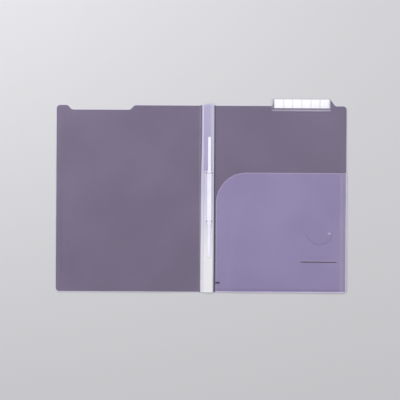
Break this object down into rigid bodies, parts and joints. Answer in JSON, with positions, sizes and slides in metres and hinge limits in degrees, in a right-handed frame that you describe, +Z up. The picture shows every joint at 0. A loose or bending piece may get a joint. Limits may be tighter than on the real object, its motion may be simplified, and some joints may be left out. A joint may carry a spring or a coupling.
{
  "type": "chart holder",
  "caption": "Open clear plastic chart holder for A4 sheets, with a bound-in two-prong fastener, a corner pocket and a labelled index tab.",
  "frame": {"origin": "on the table under the middle of the open holder's box", "axes": "+X from the spine to the back cover's free edge, +Y up the covers to the index tab, +Z up from the table"},
  "size_m": [0.482, 0.3214, 0.0033],
  "materials": {
    "clear_film": "slightly milky clear polypropylene sheet",
    "pocket_film": "slightly milky clear polypropylene film",
    "milky_film": "milky polypropylene strip",
    "white_plastic": "white moulded polypropylene",
    "sleeve_film": "clear glossy film",
    "label_card": "white card with thin grey lines between its cells"
  },
  "bodies": {
    "back": {"back_cover": "clear_film", "pocket_sheet": "pocket_film", "binding_strip": "milky_film", "fastener_base": "white_plastic", "compressor_bar": "white_plastic", "index_sleeve": "sleeve_film", "label_card": "label_card"},
    "spine": {"spine_panel": "clear_film"},
    "front": {"front_cover": "clear_film"}
  },
  "joints": [
    {"name": "spine_fold", "type": "hinge", "parent": "back", "child": "spine", "pos_m": [0.0025, 0, 0.0003], "axis": [0, 1, 0], "range_deg": [0, 90]},
    {"name": "cover_fold", "type": "hinge", "parent": "spine", "child": "front", "pos_m": [-0.0025, 0, 0.0003], "axis": [0, 1, 0], "range_deg": [0, 90]}
  ]
}
